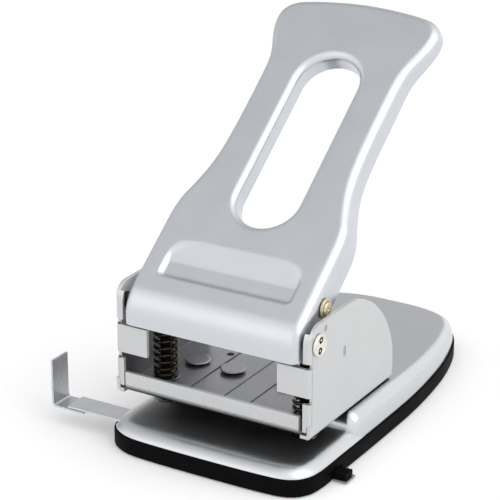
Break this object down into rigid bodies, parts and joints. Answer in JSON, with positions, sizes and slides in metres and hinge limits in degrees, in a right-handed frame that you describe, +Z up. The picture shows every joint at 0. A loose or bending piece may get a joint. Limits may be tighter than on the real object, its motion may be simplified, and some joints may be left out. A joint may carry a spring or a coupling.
{
  "type": "two-hole lever paper punch",
  "caption": "Heavy-duty desk paper punch: slotted pressed-steel lever pivoted in a riveted U frame, sprung punch pins, pressed base shell, hinged chip tray and sliding paper guide.",
  "frame": {"origin": "point of the chip tray's underside midway between the two punch pins, below the front face of the frame", "axes": "+X to the punch's right, +Y towards the free end of the lever, +Z up"},
  "size_m": [0.1594, 0.2102, 0.1947],
  "materials": {
    "silver_paint": "satin silver-grey paint",
    "light_paint": "satin light grey paint",
    "yellow_zinc": "yellow zinc plate",
    "bright_steel": "turned steel",
    "spring_steel": "oiled spring wire",
    "guide_steel": "plated strip",
    "black_plastic": "fine matt"
  },
  "bodies": {
    "base": {"base_shell": "silver_paint", "punch_frame": "light_paint", "frame_rivet_1": "bright_steel", "frame_rivet_2": "bright_steel", "frame_rivet_3": "bright_steel", "frame_rivet_4": "bright_steel", "pivot_shaft": "yellow_zinc", "die_left": "bright_steel", "die_right": "bright_steel", "pin_guide_left": "bright_steel", "pin_guide_right": "bright_steel", "guide_channel": "bright_steel", "spring_left": "spring_steel", "spring_right": "spring_steel"},
    "lever_body": {"lever": "silver_paint", "pusher_rod": "yellow_zinc", "rod_clip_inner": "yellow_zinc", "rod_clip_outer": "yellow_zinc", "pivot_sleeve": "bright_steel"},
    "pin_left": {"punch_pin_left": "bright_steel", "spring_seat_left": "bright_steel"},
    "pin_right": {"punch_pin_right": "bright_steel", "spring_seat_right": "bright_steel"},
    "guide": {"guide_strip": "guide_steel", "guide_stop": "guide_steel"},
    "tray": {"chip_tray": "black_plastic"},
    "latch": {"tray_latch": "black_plastic", "latch_plate": "bright_steel"}
  },
  "joints": [
    {"name": "lever_press", "type": "hinge", "parent": "base", "child": "lever_body", "pos_m": [0, 0.0069, 0.0699], "axis": [-1, 0, 0], "range_deg": [0, 37], "stiffness_Nm_per_rad": 2, "springref_deg": -20.05},
    {"name": "pin_left_slide", "type": "slide", "parent": "base", "child": "pin_left", "axis": [0, 0, -1], "range_m": [0, 0.0119], "deforming": ["spring_left"]},
    {"name": "pin_right_slide", "type": "slide", "parent": "base", "child": "pin_right", "axis": [0, 0, -1], "range_m": [0, 0.0119], "deforming": ["spring_right"]},
    {"name": "guide_slide", "type": "slide", "parent": "base", "child": "guide", "axis": [1, 0, 0], "range_m": [-0.05, 0.031]},
    {"name": "tray_open", "type": "hinge", "parent": "base", "child": "tray", "pos_m": [0.0047, 0.1896, 0.00915], "axis": [1, 0, 0], "range_deg": [0, 60]},
    {"name": "latch_pull", "type": "slide", "parent": "tray", "child": "latch", "axis": [1, 0, 0], "range_m": [0, 0.004], "stiffness_N_per_m": 200, "springref_m": -0.003}
  ],
  "couplings": [
    {"joint": "pin_left_slide", "follows": "lever_press", "m_per_rad": 0.01831},
    {"joint": "pin_right_slide", "follows": "lever_press", "m_per_rad": 0.01831}
  ]
}
